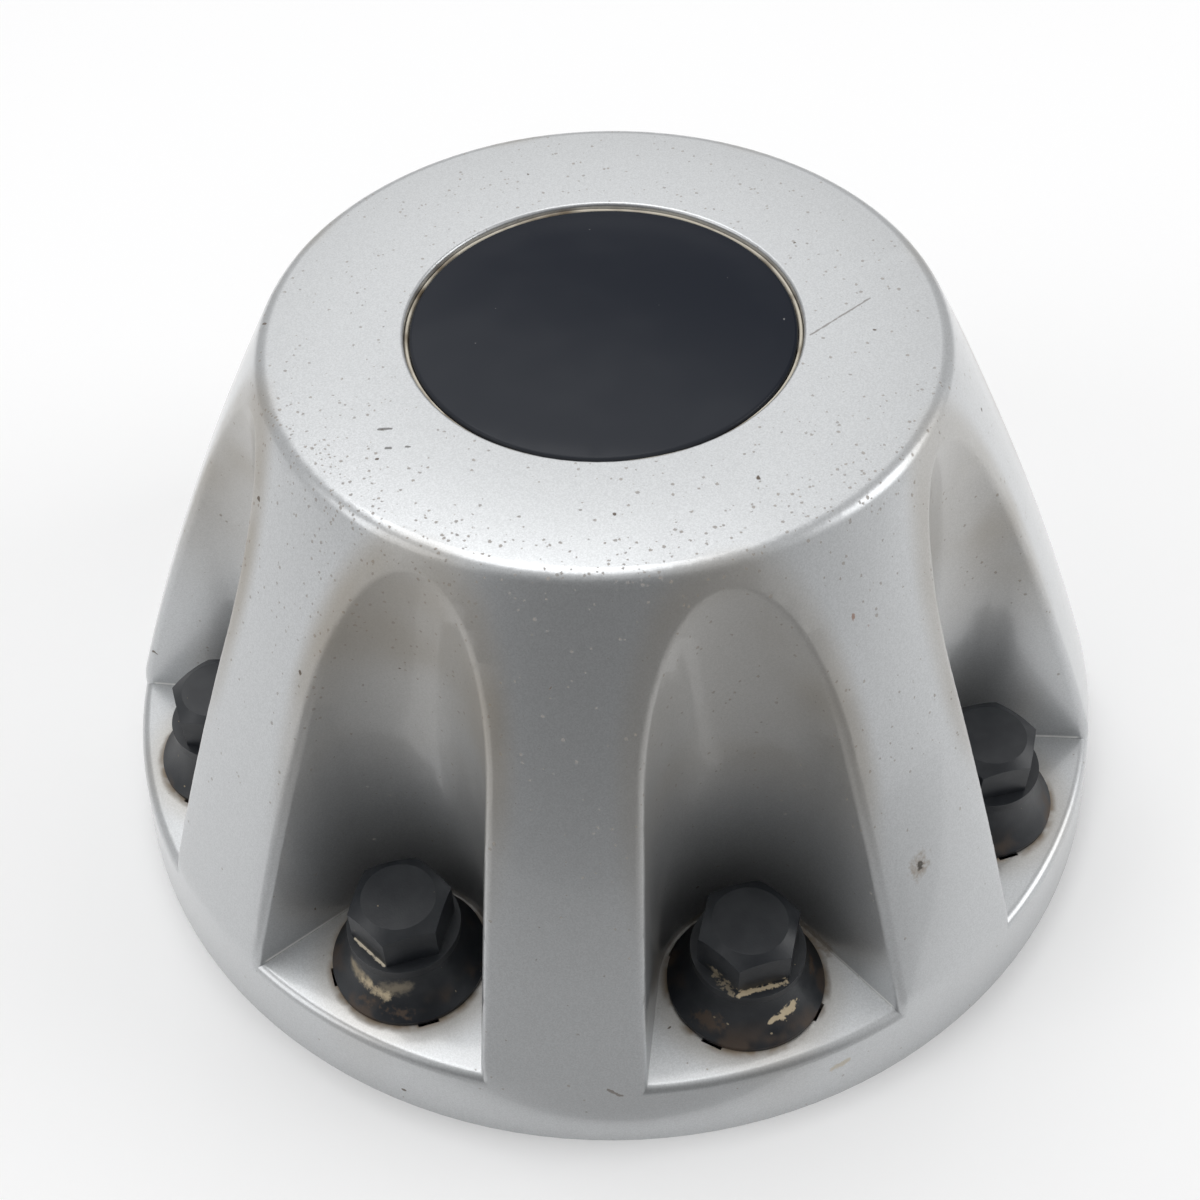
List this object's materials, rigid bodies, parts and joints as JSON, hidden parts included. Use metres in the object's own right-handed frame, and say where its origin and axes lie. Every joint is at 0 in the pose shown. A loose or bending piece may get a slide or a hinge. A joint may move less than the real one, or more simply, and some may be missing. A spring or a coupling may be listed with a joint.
{
  "type": "wheel center cap",
  "caption": "Tall truncated-cone wheel center cap in silver plastic with wrench pockets round its flank, captive black lug nut covers and a plain black disc in its top.",
  "frame": {"origin": "centre of the base rim's lower edge", "axes": "+Z along the wheel axis, out of the wheel; +X through the first lug nut cover"},
  "size_m": [0.262, 0.262, 0.1373],
  "materials": {
    "silver_paint": "silver metallic paint under a glossy clear coat, speckled and scuffed",
    "black_disc": "glossy black, dusty",
    "black_cover": "matte black with tan scuffs and brown grime"
  },
  "bodies": {
    "cap": {"cap_shell": "silver_paint", "center_disc": "black_disc"},
    "cover_1": {"lug_nut_cover_1": "black_cover"},
    "cover_2": {"lug_nut_cover_2": "black_cover"},
    "cover_3": {"lug_nut_cover_3": "black_cover"},
    "cover_4": {"lug_nut_cover_4": "black_cover"},
    "cover_5": {"lug_nut_cover_5": "black_cover"},
    "cover_6": {"lug_nut_cover_6": "black_cover"},
    "cover_7": {"lug_nut_cover_7": "black_cover"},
    "cover_8": {"lug_nut_cover_8": "black_cover"}
  },
  "joints": [
    {"name": "cover_1_turn", "type": "hinge", "parent": "cap", "child": "cover_1", "pos_m": [0.105, 0, 0.0196], "axis": [0, 0, 1], "continuous": true},
    {"name": "cover_2_turn", "type": "hinge", "parent": "cap", "child": "cover_2", "pos_m": [0.07425, 0.07425, 0.0196], "axis": [0, 0, 1], "continuous": true},
    {"name": "cover_3_turn", "type": "hinge", "parent": "cap", "child": "cover_3", "pos_m": [0, 0.105, 0.0196], "axis": [0, 0, 1], "continuous": true},
    {"name": "cover_4_turn", "type": "hinge", "parent": "cap", "child": "cover_4", "pos_m": [-0.07425, 0.07425, 0.0196], "axis": [0, 0, 1], "continuous": true},
    {"name": "cover_5_turn", "type": "hinge", "parent": "cap", "child": "cover_5", "pos_m": [-0.105, 0, 0.0196], "axis": [0, 0, 1], "continuous": true},
    {"name": "cover_6_turn", "type": "hinge", "parent": "cap", "child": "cover_6", "pos_m": [-0.07425, -0.07425, 0.0196], "axis": [0, 0, 1], "continuous": true},
    {"name": "cover_7_turn", "type": "hinge", "parent": "cap", "child": "cover_7", "pos_m": [0, -0.105, 0.0196], "axis": [0, 0, 1], "continuous": true},
    {"name": "cover_8_turn", "type": "hinge", "parent": "cap", "child": "cover_8", "pos_m": [0.07425, -0.07425, 0.0196], "axis": [0, 0, 1], "continuous": true}
  ]
}
